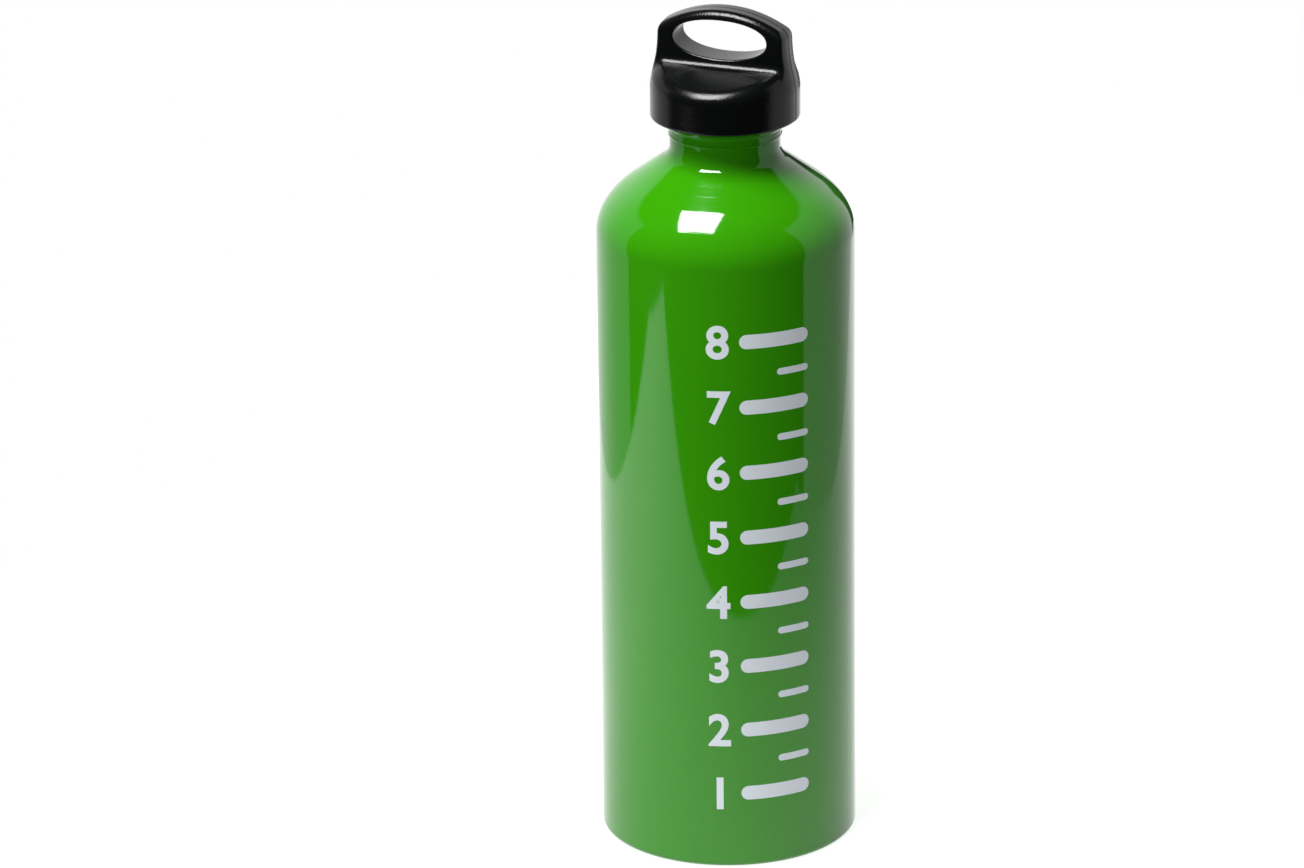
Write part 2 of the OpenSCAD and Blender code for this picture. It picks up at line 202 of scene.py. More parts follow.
class Colours(bpy.types.PropertyGroup):
    """Colours of the finishes, in linear light."""

    enamel: colour("Enamel", "Green enamel of the can", (0.036, 0.285, 0.002))
    enamel_deep: colour("Enamel, thick", "Green enamel where it lies thicker", (0.028, 0.262, 0.0015))
    metal: colour("Bare metal", "Aluminium where it isn't enamelled", (0.62, 0.63, 0.64))
    ink: colour("Ink", "Pale grey ink of the fill scale", (0.77, 0.83, 0.89))
    cap: colour("Cap", "Black plastic of the cap", (0.0022, 0.0028, 0.0025))
    plug: colour("Stopper", "Dark grey plastic of the stopper", (0.045, 0.046, 0.050))
    rubber: colour("Seal", "Rubber of the seal", (0.020, 0.018, 0.018))
    steel: colour("Spring", "Steel of the spring", (0.60, 0.61, 0.62))


class StudioSettings(bpy.types.PropertyGroup):
    """The camera and the white sheet."""

    turn: rotation("Turn", "How far round from the handle's front the camera stands", radians(20.1))
    distance: length("Distance", "Camera's distance on the floor", 2.300, 0.5, 10.0)
    height: length("Height", "Camera's height over the floor", 0.97174, 0.1, 5.0)
    pitch: rotation("Pitch", "How far the camera looks down", radians(20.112))
    roll: rotation("Roll", "How far the camera is tilted", -0.0062)
    focal: FloatProperty(name="Focal length", description="In picture widths", default=7863.6 / 1304,
                         min=0.5, max=20)
    aside: FloatProperty(name="Aside", default=(727.05 - 652) / 1304, min=-0.4, max=0.4,
                         description="How far right of the middle the bottle stands, in picture widths")
    lean: rotation("Lean", "How far the sheet's front and the dark front of the room are turned left",
                   radians(12.0))
    sheet_front: length("Sheet front", "From the bottle's axis to the sheet's front edge", 0.235, 0.05, 2.0)
    sheet_right: length("Sheet right", "From the bottle's axis to the sheet's right edge", 0.31, 0.05, 2.0)
    sheet_left: length("Sheet left", "From the bottle's axis to the sheet's left corner", 0.50, 0.05, 2.0)
    sheet_back: length("Sheet back", "From the bottle's axis to the sheet's back edge", 0.75, 0.05, 2.0)


GROUPS = {
    "can": CanSizes,
    "thread": ThreadSizes,
    "cap": CapSizes,
    "plug": PlugSizes,
    "scale": PrintSizes,
    "colours": Colours,
    "studio": StudioSettings,
}


class BottleSettings(bpy.types.PropertyGroup):
    """All the settings of the bottle, by group."""

    can: PointerProperty(type=CanSizes)
    thread: PointerProperty(type=ThreadSizes)
    cap: PointerProperty(type=CapSizes)
    plug: PointerProperty(type=PlugSizes)
    scale: PointerProperty(type=PrintSizes)
    colours: PointerProperty(type=Colours)
    studio: PointerProperty(type=StudioSettings)


# Shader maths

class Wire:
    """A number on its way through a shader: sums, products and the like add Math nodes."""

    def __init__(self, finish, socket):
        self.finish = finish
        self.socket = socket

    def maths(self, operation, a, b=0.0):
        return self.finish.node("ShaderNodeMath", {"operation": operation}, {0: a, 1: b})

    def __add__(self, other):
        return self.maths("ADD", self, other)

    def __radd__(self, other):
        return self.maths("ADD", other, self)

    def __sub__(self, other):
        return self.maths("SUBTRACT", self, other)

    def __rsub__(self, other):
        return self.maths("SUBTRACT", other, self)

    def __mul__(self, other):
        return self.maths("MULTIPLY", self, other)

    def __rmul__(self, other):
        return self.maths("MULTIPLY", other, self)

    def __truediv__(self, other):
        return self.maths("DIVIDE", self, other)

    def __rtruediv__(self, other):
        return self.maths("DIVIDE", other, self)

    def over(self, low, high):
        """0 at low and 1 at high, with soft ends."""
        return self.finish.node("ShaderNodeMapRange", {"interpolation_type": "SMOOTHSTEP"},
                                {"Value": self, "From Min": low, "From Max": high})


class Finish:
    """A node tree being filled: a material's or the world's."""

    def __init__(self, owner):
        owner.use_nodes = True
        self.tree = owner.node_tree
        self.tree.nodes.clear()

    def node(self, kind, settings=None, sockets=None, output=0):
        """Adds a node: its settings are set first, then its sockets get values or links."""
        made = self.tree.nodes.new(kind)
        for name, value in (settings or {}).items():
            setattr(made, name, value)
        for name, value in (sockets or {}).items():
            socket = made.inputs[name]
            if isinstance(value, Wire):
                self.tree.links.new(value.socket, socket)
            else:
                socket.default_value = (*value[:3], 1.0) if socket.type == "RGBA" else value
        return Wire(self, made.outputs[output]) if made.outputs else None

    def point(self):
        """The point in the bottle's own frame."""
        return self.node("ShaderNodeTexCoord", output="Object")

    def along(self, point, axis):
        """How far the point lies along X, Y or Z."""
        return self.node("ShaderNodeSeparateXYZ", {}, {0: point}, axis)

    def noise(self, point, scale, detail=2.0, roughness=0.5):
        """Noise from 0 to 1, with scale features to a metre."""
        return self.node("ShaderNodeTexNoise", {}, {
            "Vector": point, "Scale": scale, "Detail": detail, "Roughness": roughness})

    def stretch(self, point, x, y, z):
        """The point with its axes stretched."""
        return self.node("ShaderNodeVectorMath", {"operation": "MULTIPLY"}, {0: point, 1: (x, y, z)})

    def rays(self):
        """1 for what the camera sees itself, and 1 for what a mirror or clear glass sees."""
        camera, glossy, through = (self.node("ShaderNodeLightPath", output=f"Is {kind} Ray")
                                   for kind in ("Camera", "Glossy", "Transmission"))
        return camera, self.maximum(glossy, through)

    def maximum(self, a, b):
        """The larger of two numbers."""
        return self.node("ShaderNodeMath", {"operation": "MAXIMUM"}, {0: a, 1: b})

    def mix(self, factor, a, b):
        """Colour a at factor 0 and colour b at factor 1."""
        return self.node("ShaderNodeMix", {"data_type": "RGBA"}, {0: factor, 6: a, 7: b}, 2)

    def bump(self, height, strength, distance, below=None):
        """A bump from a height of 0 to 1, over another bump."""
        sockets = {"Height": height, "Strength": strength, "Distance": distance}
        if below is not None:
            sockets["Normal"] = below
        return self.node("ShaderNodeBump", {}, sockets)

    def surface(self, **sockets):
        """The shader and the material's output. Names of sockets have _ for a space."""
        named = {name.replace("_", " "): value for name, value in sockets.items()}
        shader = self.node("ShaderNodeBsdfPrincipled", {}, named)
        self.node("ShaderNodeOutputMaterial", {}, {"Surface": shader})


def material(name):
    """A new material and the finish that fills it."""
    made = bpy.data.materials.new(name)
    return made, Finish(made)


def shaded(colour, factor):
    """A colour times a factor."""
    return tuple(factor * c for c in colour)


def enamel_finish(colours):
    """Gloss green enamel. The can's drawing lines show through it, most of all on the shoulder."""
    made, f = material("green_enamel")
    point = f.point()
    height = f.along(point, "Z")
    cloud = f.noise(point, 22.0, 3.0)
    lines = f.noise(f.stretch(point, 30.0, 30.0, 1100.0), 1.0, 3.0)
    spun = 0.05 + 0.95 * (height.over(0.196, 0.204) - height.over(0.217, 0.221))
    peel = f.noise(point, 420.0, 2.0)
    base = f.mix(cloud, colours.enamel, colours.enamel_deep)
    drawn = f.bump(lines * spun, 0.34, 0.00006)
    skin = f.bump(peel, 0.05, 0.00006, drawn)
    f.surface(Base_Color=base, Roughness=0.045 + 0.03 * cloud, Normal=skin, IOR=1.55)
    return made


def metal_finish(colours):
    """Bare aluminium, turned: fine rings round the axis."""
    made, f = material("bare_aluminium")
    point = f.point()
    rings = f.noise(f.stretch(point, 40.0, 40.0, 3000.0), 1.0, 3.0)
    cloud = f.noise(point, 60.0, 3.0)
    base = f.mix(cloud, colours.metal, shaded(colours.metal, 0.82))
    f.surface(Base_Color=base, Metallic=1.0, Roughness=0.26 + 0.16 * rings,
              Normal=f.bump(rings, 0.25, 0.00008))
    return made


def ink_finish(colours):
    """Screen-printed ink under a thin gloss, with the screen's faint grain."""
    made, f = material("scale_ink")
    point = f.point()
    screen = f.noise(point, 1600.0, 1.0)
    cloud = f.noise(point, 90.0, 3.0)
    base = f.mix(cloud, colours.ink, shaded(colours.ink, 0.93))
    f.surface(Base_Color=base, Roughness=0.34 + 0.14 * screen, Normal=f.bump(screen, 0.12, 0.00005),
              Coat_Weight=0.5, Coat_Roughness=0.08)
    return made


def cap_finish(colours):
    """Black moulded plastic with a fine spark-eroded grain."""
    made, f = material("black_cap")
    point = f.point()
    grain = f.noise(point, 1500.0, 2.0, 0.6)
    cloud = f.noise(point, 110.0, 3.0)
    base = f.mix(cloud, colours.cap, shaded(colours.cap, 1.5))
    f.surface(Base_Color=base, Roughness=0.15 + 0.09 * grain, Normal=f.bump(grain, 0.42, 0.00013),
              Specular_IOR_Level=0.36)
    return made


def plug_finish(colours):
    """Dark grey moulded plastic of the stopper."""
    made, f = material("dark_stopper")
    point = f.point()
    grain = f.noise(point, 900.0, 2.0)
    base = f.mix(grain, colours.plug, shaded(colours.plug, 1.25))
    f.surface(Base_Color=base, Roughness=0.38 + 0.14 * grain, Normal=f.bump(grain, 0.2, 0.0001))
    return made


def rubber_finish(colours):
    """Fuel-proof rubber, matt with a faint bloom."""
    made, f = material("seal_rubber")
    point = f.point()
    bloom = f.noise(point, 240.0, 4.0)
    base = f.mix(bloom, colours.rubber, shaded(colours.rubber, 1.8))
    f.surface(Base_Color=base, Roughness=0.62 + 0.2 * bloom, Normal=f.bump(bloom, 0.2, 0.0001))
    return made


def steel_finish(colours):
    """Drawn spring steel wire."""
    made, f = material("spring_steel")
    point = f.point()
    drawn = f.noise(f.stretch(point, 300.0, 300.0, 2500.0), 1.0, 2.0)
    base = f.mix(drawn, colours.steel, shaded(colours.steel, 0.8))
    f.surface(Base_Color=base, Metallic=1.0, Roughness=0.24 + 0.12 * drawn,
              Normal=f.bump(drawn, 0.15, 0.00005))
    return made


# Mesh making

def new_object(name, data):
    """A new object in the scene."""
    made = bpy.data.objects.new(name, data)
    bpy.context.scene.collection.objects.link(made)
    return made


def link(mesh, name, body, materials):
    """Puts a mesh in the scene as a named piece that rides on a body."""
    piece = new_object(name, mesh)
    for made in materials:
        mesh.materials.append(made)
    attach(piece, body)
    return piece


def finish_mesh(bm, name, crease=radians(32)):
    """Turns a bmesh into a mesh with smooth faces, and hard edges past the crease angle."""
    bmesh.ops.recalc_face_normals(bm, faces=bm.faces)
    for face in bm.faces:
        face.smooth = True
    for edge in bm.edges:
        if len(edge.link_faces) == 2:
            edge.smooth = edge.calc_face_angle(0.0) < crease
    mesh = bpy.data.meshes.new(name)
    bm.to_mesh(mesh)
    bm.free()
    return mesh


def curve(a, b, c, d, steps):
    """Points on a cubic curve from a to d with handles b and c."""
    points = []
    for i in range(steps + 1):
        t = i / steps
        weights = ((1 - t) ** 3, 3 * (1 - t) ** 2 * t, 3 * (1 - t) * t * t, t ** 3)
        points.append(tuple(sum(w * p[k] for w, p in zip(weights, (a, b, c, d))) for k in (0, 1)))
    return points


def arc(centre, radius, start, end, steps):
    """Points on an arc, its angles in degrees."""
    angles = (radians(start + (end - start) * i / steps) for i in range(steps + 1))
    return [(centre[0] + radius * cos(a), centre[1] + radius * sin(a)) for a in angles]


def rounded(points, radius, steps=4):
    """A run of (radius, height) points with its inner corners rounded. The first and last point stay."""
    out = [points[0]]
    for before, corner, after in zip(points, points[1:], points[2:]):
        to_before = Vector(before) - Vector(corner)
        to_after = Vector(after) - Vector(corner)
        half = to_before.angle(to_after) / 2
        shorter = min(to_before.length, to_after.length)
        reach = min(radius * cos(half) / max(0.01, sin(half)), 0.45 * shorter)
        start = Vector(corner) + to_before.normalized() * reach
        end = Vector(corner) + to_after.normalized() * reach
        for i in range(steps + 1):
            t = i / steps
            point = start * (1 - t) ** 2 + Vector(corner) * 2 * t * (1 - t) + end * t * t
            out.append(tuple(point))
    out.append(points[-1])
    return out


def lathe(name, runs, steps=240):
    """A turned solid. runs holds (points, material number), each run starting where the last one ended,
    and the last run ends at the first point or on the axis."""
    bm = bmesh.new()
    profile, marks = [], []
    for points, mark in runs:
        for point in points:
            if profile and hypot(point[0] - profile[-1][0], point[1] - profile[-1][1]) < 1e-7:
                continue
            profile.append(point)
            marks.append(mark)
    closed = profile[0][0] > 1e-7
    if closed and hypot(profile[0][0] - profile[-1][0], profile[0][1] - profile[-1][1]) < 1e-7:
        profile.pop()
        marks.pop()
    rings = []
    angles = [2 * pi * i / steps for i in range(steps)]
    for radius, height in profile:
        if radius < 1e-7:
            rings.append([bm.verts.new((0, 0, height))] * steps)
        else:
            rings.append([bm.verts.new((radius * cos(a), radius * sin(a), height)) for a in angles])
    last = len(rings) if closed else len(rings) - 1
    for n in range(last):
        low, high = rings[n], rings[(n + 1) % len(rings)]
        for i in range(steps):
            j = (i + 1) % steps
            corners = list(dict.fromkeys((low[i], low[j], high[j], high[i])))
            face = bm.faces.new(corners)
            face.material_index = marks[(n + 1) % len(marks)]
    return finish_mesh(bm, name)


def swept(name, stations):
    """A closed tube through stations, each a ring of points with as many points as the others."""
    bm = bmesh.new()
    rings = [[bm.verts.new(point) for point in ring] for ring in stations]
    count = len(rings[0])
    for low, high in zip(rings, rings[1:]):
        for i in range(count):
            j = (i + 1) % count
            bm.faces.new((low[i], low[j], high[j], high[i]))
    bm.faces.new(rings[0])
    bm.faces.new(rings[-1])
    return finish_mesh(bm, name, radians(50))


def thread_ridge(name, root, crest, thread, low, high, phase, steps_per_turn=72):
    """A screw thread's ridge, from a root radius to a crest radius, running out at both ends."""
    turns = (high - low) / thread.pitch
    count = int(turns * steps_per_turn)
    buried = 0.3 * MM * (1 if crest < root else -1)
    stations = []
    for n in range(count + 1):
        t = n / count
        angle = phase + 2 * pi * turns * t
        height = low + (high - low) * t
        rise = min(1.0, 6 * t * turns, 6 * (1 - t) * turns)
        top = root + (crest - root) * max(0.04, sin(rise * pi / 2))
        section = [(root + buried, -thread.foot / 2), (root, -thread.foot / 2), (top, -thread.crest / 2),
                   (top, thread.crest / 2), (root, thread.foot / 2), (root + buried, thread.foot / 2)]
        stations.append([(r * cos(angle), r * sin(angle), height + z) for r, z in section])
    return swept(name, stations)


# Distances, for the moulded cap

def fillet(a, b, radius):
    """Two solids joined, with a fillet in the corner between them."""
    corner = np.hypot(np.maximum(radius - a, 0), np.maximum(radius - b, 0))
    return np.maximum(radius, np.minimum(a, b)) - corner


def trim(a, b, radius):
    """What two solids share, with a rounded edge."""
    return -fillet(-a, -b, radius)


def turned_distance(radius, height, outline):
    """Distance to the outside of a turned form, from its radius at each height."""
    places = np.array([p[1] for p in outline])
    radii = np.array([p[0] for p in outline])
    slopes = np.gradient(radii, places)
    steep = np.interp(height, places, slopes)
    return (radius - np.interp(height, places, radii)) / np.sqrt(1 + steep * steep)


def surface_net(name, distance, low, high, step):
    """A mesh of the surface where distance is zero: one point in each grid cell that the surface
    crosses, then moved onto the surface along the distance's slope."""
    axes = [np.arange(a, b + step, step) for a, b in zip(low, high)]
    grid = distance(*np.meshgrid(*axes, indexing="ij"))
    cells = tuple(n - 1 for n in grid.shape)
    total, count = np.zeros((*cells, 3)), np.zeros(cells)
    for axis, near, far in product(range(3), (0, 1), (0, 1)):
        start = [near, far]
        start.insert(axis, 0)
        end = list(start)
        end[axis] = 1
        a = grid[tuple(slice(s, s + n) for s, n in zip(start, cells))]
        b = grid[tuple(slice(s, s + n) for s, n in zip(end, cells))]
        crossed = (a < 0) != (b < 0)
        share = np.where(crossed, a / np.where(crossed, a - b, 1), 0)
        for k in range(3):
            total[..., k] += crossed * (share if k == axis else start[k])
        count += crossed
    filled = count > 0
    numbers = np.full(cells, -1)
    numbers[filled] = np.arange(filled.sum())
    points = (np.argwhere(filled) + total[filled] / count[filled][:, None]) * step + np.array(low)
    faces = []
    for axis in range(3):
        others = [k for k in range(3) if k != axis]
        a = grid[tuple(slice(0, -1) if k == axis else slice(1, -1) for k in range(3))]
        b = grid[tuple(slice(1, None) if k == axis else slice(1, -1) for k in range(3))]
        crossed = (a < 0) != (b < 0)
        at = np.argwhere(crossed)
        at[:, others] += 1
        around = []
        for back in ((0, 0), (1, 0), (1, 1), (0, 1)):
            cell = at.copy()
            cell[:, others[0]] -= back[0]
            cell[:, others[1]] -= back[1]
            around.append(numbers[tuple(cell.T)])
        quads = np.stack(around, 1)
        flip = (a < 0)[crossed] == (axis == 1)
        quads[flip] = quads[flip][:, ::-1]
        faces.append(quads)
    probe = 0.02 * step
    for _ in range(4):
        ends = [(points + probe * unit, points - probe * unit) for unit in np.eye(3)]
        slope = np.stack([distance(*a.T) - distance(*b.T) for a, b in ends], 1) / (2 * probe)
        reach = distance(*points.T) / np.maximum(0.25, (slope ** 2).sum(1))
        points -= slope * np.clip(reach, -step / 2, step / 2)[:, None]
    mesh = bpy.data.meshes.new(name)
    mesh.from_pydata(points.tolist(), [], np.concatenate(faces).tolist())
    mesh.validate()
    mesh.shade_smooth()
    return mesh


def cap_distance(cap, plug):
    """Distance to the cap's surface, in metres, as a function of x, y and z."""
    half = cap.handle_thick / 2
    straight_top = cap.skirt_z + cap.skirt_straight
    foot_z = cap.deck_z + cap.deck_rise
    flare_z = foot_z + cap.flare
    outline = [(cap.skirt_radius, cap.skirt_z - 0.01)] + curve(
        (cap.skirt_radius, straight_top), (cap.skirt_radius, straight_top + cap.flare_low),
        (cap.handle_root / 2, flare_z - cap.flare_high), (cap.handle_root / 2, flare_z), 160)
    outline += [(cap.handle_length / 2, cap.top_z - cap.corner), (cap.handle_length / 2, cap.top_z + 0.01)]
    foot_y = half + 2.0 * MM
    slope = cap.deck_rise / (cap.skirt_radius - foot_y)
    arch_z = cap.top_z - cap.arch_radius
    eye_z = cap.top_z - cap.arch_thick - cap.eye_height / 2
    inner = cap.skirt_radius - cap.wall
    snap = 0.9 * MM
    snap_z = plug.flange_z - snap
    hollow_round = 0.8 * MM
    lip_round = 0.35 * MM
    power = 2.15  # of the eye's oval: 2 makes an ellipse, and more makes it squarer

    def distance(x, y, z):
        radius = np.hypot(x, y)
        step = cap.seam / 2 * np.clip(y / (0.08 * MM), -1, 1)
        outside = turned_distance(radius, z, outline) - step
        arch = np.hypot(x, z - arch_z) - cap.arch_radius - step
        plate = trim(np.abs(y) - half, arch, cap.arch_round)
        across = np.maximum(np.abs(y) - foot_y, 0)
        deck = (z - foot_z + slope * across) / sqrt(1 + slope * slope)
        body = fillet(trim(outside, plate, cap.edge), trim(outside, deck, cap.deck_round), cap.root_fillet)
        body = np.maximum(body, outside)
        body = np.maximum(body, trim(outside, arch, cap.corner))
        body = trim(body, cap.skirt_z - z, cap.skirt_round)
        u, w = np.abs(x) / (cap.eye_length / 2), np.abs(z - eye_z) / (cap.eye_height / 2)
        oval = np.maximum(1e-9, u ** power + w ** power) ** (1 / power)
        rise = np.hypot(u ** (power - 1) / (cap.eye_length / 2), w ** (power - 1) / (cap.eye_height / 2))
        eye = (oval - 1) / np.maximum(rise / oval ** (power - 1), 60.0)
        body = trim(body, -eye, cap.eye_round)
        hollow = trim(radius - inner, z - cap.ceiling_z, hollow_round)
        bead = np.hypot(radius - inner, z - snap_z) - snap
        hollow = np.maximum(hollow, -bead)
        body = trim(body, -hollow, lip_round)
        return np.minimum(body, lugs(x, y, z, radius))

    def lugs(x, y, z, radius):
        """The lugs under the ceiling, which stand over the gaps between the teeth, a little above them."""
        pitch = 2 * pi / plug.teeth
        turn = np.arctan2(y, x) % pitch - pitch / 2
        mid = plug.flange_radius - plug.tooth_length / 2
        clear = 0.3 * MM
        low = plug.flange_z + plug.flange + plug.tooth + clear
        side = (np.abs(turn) - pitch * plug.tooth_share / 2) * radius
        ring = np.abs(radius - mid) - plug.tooth_length / 2
        return np.maximum(np.maximum(side, ring), np.maximum(low - z, z - cap.ceiling_z - 0.5 * MM))

    return distance


# Pieces

def settings():
    """The bottle's settings, by group."""
    return bpy.context.scene.fuel_bottle


class FUELBOTTLE_OT_can(bpy.types.Operator):
    """The enamelled can, with the screw thread in its mouth"""

    bl_idname = "fuelbottle.can"
    bl_label = "Can"

    def execute(self, context):
        can, thread, colours = settings().can, settings().thread, settings().colours
        enamel, bare = enamel_finish(colours), metal_finish(colours)
        inside = can.radius - can.wall
        foot = can.radius - can.foot_width
        bevel_z = can.rim_z - can.rim_bevel

        def dome(radius):
            return can.dome * max(0.0, 1 - (radius / foot) ** 2)

        underside = [(foot * i / 24, dome(foot * i / 24)) for i in range(25)]
        edge = arc((can.radius - can.base_round, can.base_round), can.base_round, -90, 0, 10)
        neck_fillet = arc((can.waist_radius + can.neck_fillet, can.waist_z), can.neck_fillet,
                          180 + degrees(can.cone_tilt), 180, 20)
        down = Vector((sin(can.cone_tilt), -cos(can.cone_tilt)))
        foot_of_cone = Vector(neck_fillet[0])
        foot_of_cone += down * (can.cone_radius - foot_of_cone.x) / down.x
        shoulder = curve((can.radius, can.wall_top), (can.radius, can.wall_top + can.shoulder_pull),
                         foot_of_cone + down * can.cone_pull, foot_of_cone, 48) + neck_fillet
        bead, above = can.waist_radius + can.bead_step, can.waist_radius + can.bead_step / 2
        neck = rounded([
            (can.waist_radius, can.waist_z),
            (can.waist_radius, can.bead_z - can.bead_step),
            (bead, can.bead_z),
            (bead, can.bead_z + can.bead_step),
            (above, can.bead_z + 2 * can.bead_step),
            (above, can.collar_z - can.bead_step),
            (bead, can.collar_z),
            (can.collar_radius, can.collar_z + 0.5 * MM),
            (can.collar_radius, bevel_z)], 0.3 * MM)
        rim = rounded([
            (can.collar_radius, bevel_z),
            (can.collar_radius - can.rim_bevel, can.rim_z),
            (can.bore_radius + can.rim_bevel, can.rim_z),
            (can.bore_radius, bevel_z),
            (can.bore_radius, can.bore_root_z)], 0.25 * MM)
        belly = curve((can.bore_radius, can.bore_root_z), (can.bore_radius, can.bore_root_z - can.belly_high),
                      (inside, can.wall_top + can.belly_low), (inside, can.wall_top), 48)
        floor_radius = inside - can.floor_round
        corner = arc((floor_radius, can.base + can.floor_round), can.floor_round, 0, -90, 8)
        floor = [(min(foot, floor_radius) * i / 16, dome(foot * i / 16) + can.base)
                 for i in range(16, -1, -1)]
        mesh = lathe("can", [(underside + edge + shoulder + neck, 0), (rim + belly + corner + floor, 1)])
        body = link(mesh, "can", "bottle", [enamel, bare])
        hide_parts("bottle_body")
        ridge = thread_ridge("mouth_thread", can.bore_radius, can.bore_radius - thread.depth, thread,
                             can.bore_root_z + thread.foot, can.rim_z - thread.foot, 0.0)
        link(ridge, "mouth_thread", "bottle", [bare])
        return {"FINISHED"}


class FUELBOTTLE_OT_scale(bpy.types.Operator):
    """The printed fill scale: plain bars, ticks and numbers in deciliters"""

    bl_idname = "fuelbottle.scale"
    bl_label = "Fill scale"

    def execute(self, context):
        can, scale = settings().can, settings().scale
        ink = ink_finish(settings().colours)
        bm = bmesh.new()
        gap = 3.0 * MM
        for n in range(1, scale.marks + 1):
            height = scale.zero + n * scale.step
            self.bar(bm, 0.0, height, scale.bar, scale.bar_height)
            self.number(bm, str(n), -scale.bar / 2 - gap, height, scale.digit)
            if n < scale.marks:
                middle = (scale.bar - scale.tick) / 2
                self.bar(bm, middle, height + scale.step / 2, scale.tick, scale.tick_height)
        self.wrap(bm, can.radius + 0.2 * scale.ink, scale.azimuth, scale.ink)
        mesh = finish_mesh(bm, "fill_scale")
        link(mesh, "fill_scale", "bottle", [ink])
        return {"FINISHED"}

    def bar(self, bm, middle, height, width, thick):
        """A flat bar with round ends, in the plane that is later wrapped."""
        half = thick / 2
        points = []
        for side, start in ((1, -90), (-1, 90)):
            centre = middle + side * (width / 2 - half)
            points += arc((centre, height), half, start, start + 180, 8)
        bm.faces.new([bm.verts.new((*p, 0.0)) for p in points])

    def number(self, bm, text, right, height, size):
        """Flat figures, right-aligned and centred on a height."""
        data = bpy.data.curves.new("figure", "FONT")
        data.body = text
        figure_share = 0.72  # of a font's size, the height of its figures
        boldness = 0.035
        data.size = size / figure_share
        data.offset = boldness * size
        data.resolution_u = 8
        data.align_x = "RIGHT"
        holder = new_object("figure", data)
        flat = bpy.data.meshes.new_from_object(holder.evaluated_get(bpy.context.evaluated_depsgraph_get()))
        low = min(v.co.y for v in flat.vertices)
        high = max(v.co.y for v in flat.vertices)
        flat.transform(Matrix.Translation((right, height - (low + high) / 2, 0)))
        bm.from_mesh(flat)
        bpy.data.objects.remove(holder)
        bpy.data.curves.remove(data)
        bpy.data.meshes.remove(flat)

    def wrap(self, bm, radius, azimuth, thick):
        """Cuts flat faces into strips, lays them round the can and gives them their thickness."""
        low = min(v.co.x for v in bm.verts)
        high = max(v.co.x for v in bm.verts)
        strip = 1.0 * MM
        for n in range(1, int((high - low) / strip) + 1):
            bmesh.ops.bisect_plane(bm, geom=bm.verts[:] + bm.edges[:] + bm.faces[:], dist=1e-7,
                                   plane_co=(low + n * strip, 0, 0), plane_no=(1, 0, 0))
        bmesh.ops.triangulate(bm, faces=bm.faces)
        bmesh.ops.remove_doubles(bm, verts=bm.verts, dist=1e-6)
        bmesh.ops.recalc_face_normals(bm, faces=bm.faces)
        made = bmesh.ops.extrude_face_region(bm, geom=bm.faces[:])
        raised = {v for v in made["geom"] if isinstance(v, bmesh.types.BMVert)}
        for vert in bm.verts:
            flat = vert.co.copy()
            angle = azimuth + flat.x / radius
            out = radius + (thick if vert in raised else 0.0)
            vert.co = (out * cos(angle), out * sin(angle), flat.y)


class FUELBOTTLE_OT_cap(bpy.types.Operator):
    """The black outer cap with its carry handle"""

    bl_idname = "fuelbottle.cap"
    bl_label = "Cap"

    def execute(self, context):
        cap, plug = settings().cap, settings().plug
        margin = 3 * cap.grid
        reach = cap.skirt_radius + margin
        step = cap.grid * 1
        mesh = surface_net("cap", cap_distance(cap, plug), (-reach, -reach, cap.skirt_z - margin),
                           (reach, reach, cap.top_z + margin), step)
        piece = link(mesh, "cap", "cap", [cap_finish(settings().colours)])
        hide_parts("cap_shell")
        return {"FINISHED"}


